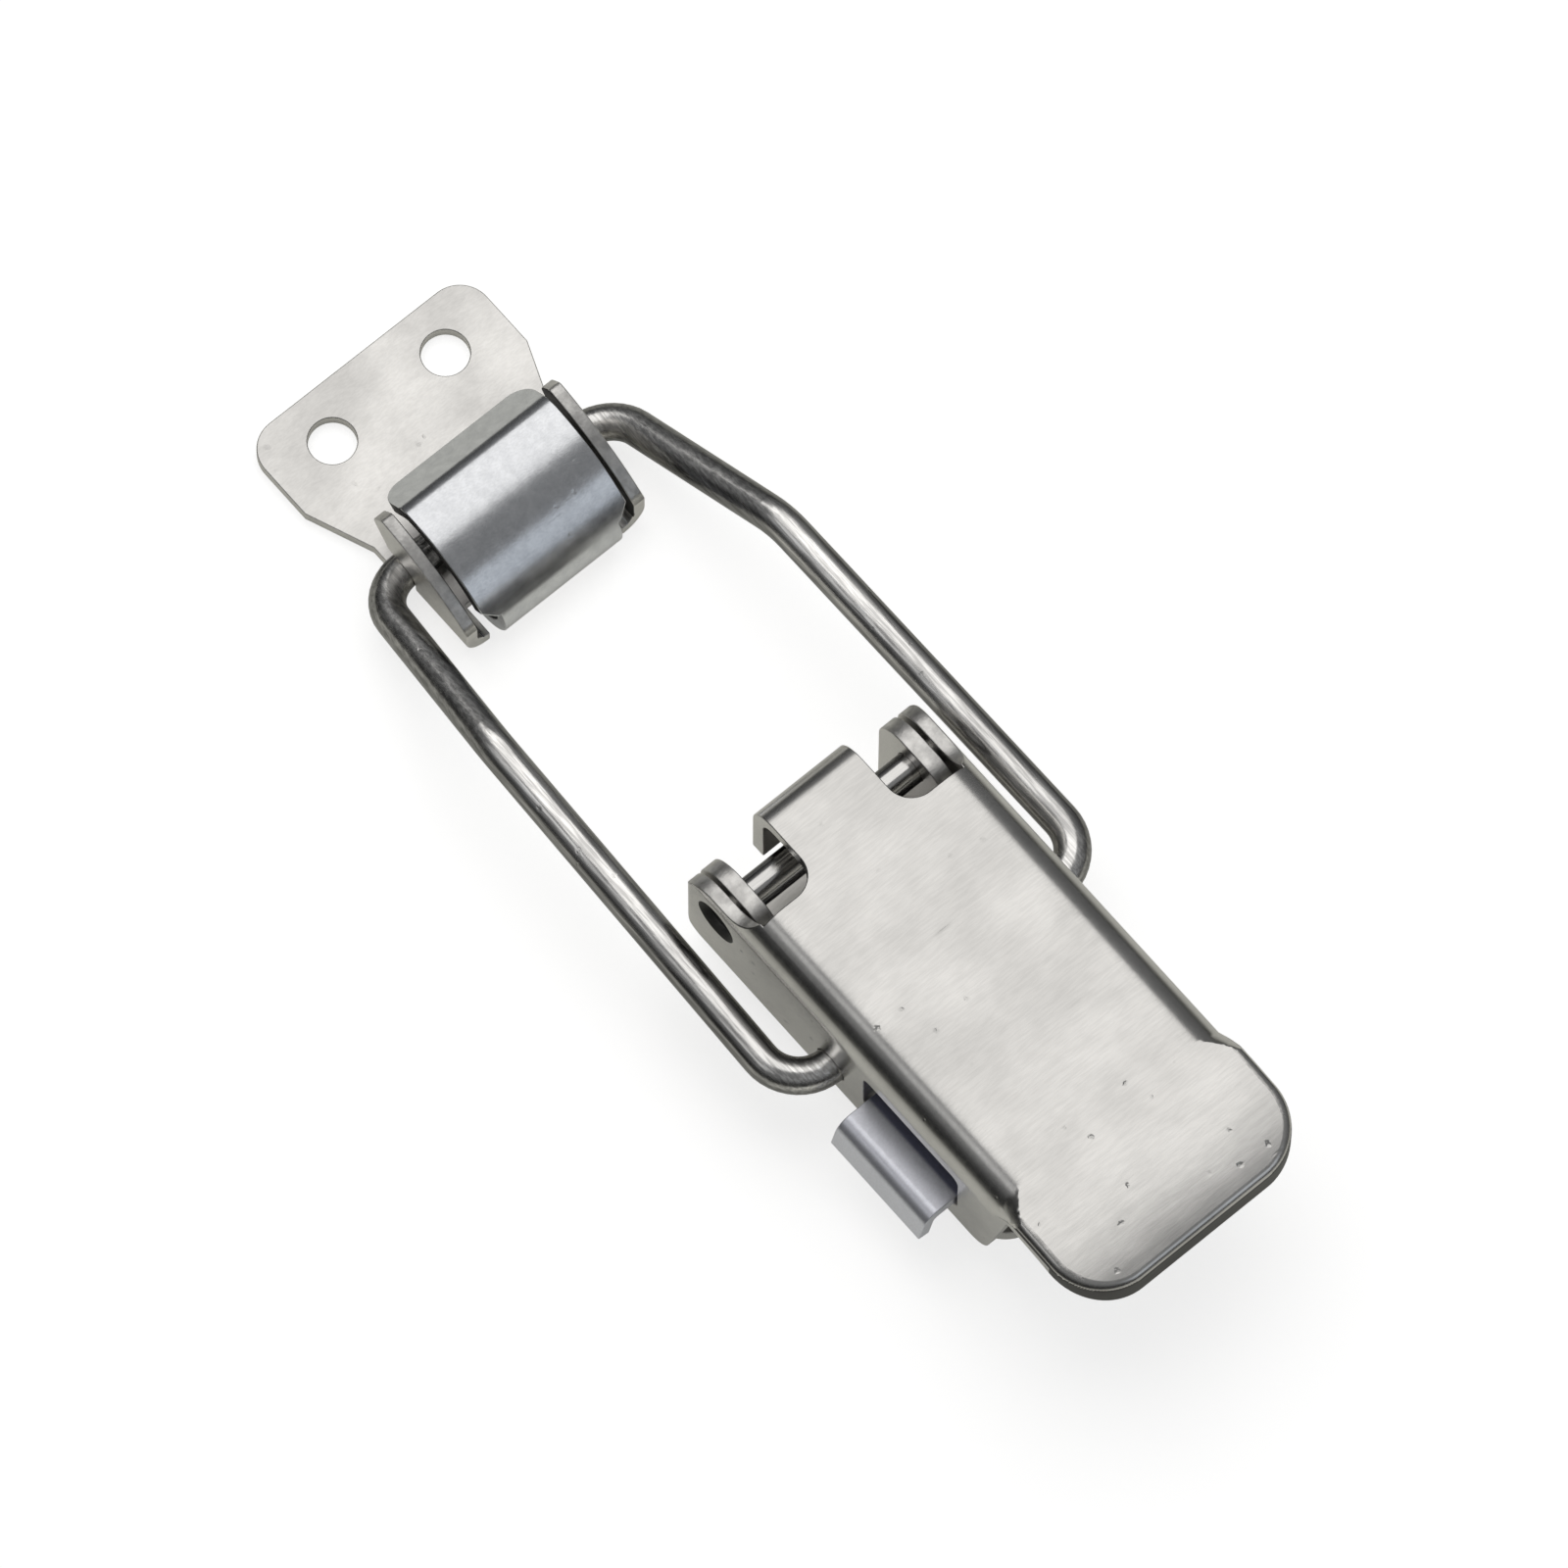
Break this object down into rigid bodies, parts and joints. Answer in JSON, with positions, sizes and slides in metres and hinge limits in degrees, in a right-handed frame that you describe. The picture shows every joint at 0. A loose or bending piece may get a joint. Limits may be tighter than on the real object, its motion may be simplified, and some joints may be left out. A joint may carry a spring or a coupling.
{
  "type": "over centre toggle latch",
  "caption": "Over centre toggle latch: a folded sheet lever with a sprung side thumb catch draws a bent wire bail whose crossbar sits in the hooks of a folded keeper plate.",
  "frame": {"origin": "on the mounting face of the base, on the latch's mid-plane, straight below the lever's pivot pin", "axes": "+X from the keeper towards the lever's thumb tip, +Y across the latch towards the flange without a window, +Z away from the panel"},
  "size_m": [0.1093, 0.0358, 0.0184],
  "materials": {
    "base": "satin rolled sheet",
    "pivot_pin": "polished",
    "lever": "satin, finely rubbed",
    "catch_spring": "drawn wire",
    "wire_bail": "polished drawn wire",
    "keeper": "satin rolled sheet",
    "safety_catch": "polished sheet"
  },
  "bodies": {
    "base_body": {"base": "base", "pivot_pin": "pivot_pin"},
    "lever_body": {"lever": "lever", "catch_spring": "catch_spring"},
    "bail_body": {"wire_bail": "wire_bail", "keeper": "keeper"},
    "catch_body": {"safety_catch": "safety_catch"}
  },
  "joints": [
    {"name": "lever_hinge", "type": "hinge", "parent": "base_body", "child": "lever_body", "pos_m": [0, 0, 0.0122], "axis": [0, -1, 0], "range_deg": [0, 150]},
    {"name": "bail_hinge", "type": "hinge", "parent": "lever_body", "child": "bail_body", "pos_m": [0.0146, 0, 0.00835], "axis": [0, -1, 0], "range_deg": [-150, 0]},
    {"name": "catch_hinge", "type": "hinge", "parent": "lever_body", "child": "catch_body", "pos_m": [0.0146, 0, 0.00835], "axis": [0, -1, 0], "range_deg": [0, 11], "stiffness_Nm_per_rad": 0.05, "springref_deg": -20.05, "deforming": ["catch_spring"]}
  ],
  "couplings": [
    {"joint": "bail_hinge", "follows": "lever_hinge", "ratio": -1}
  ]
}
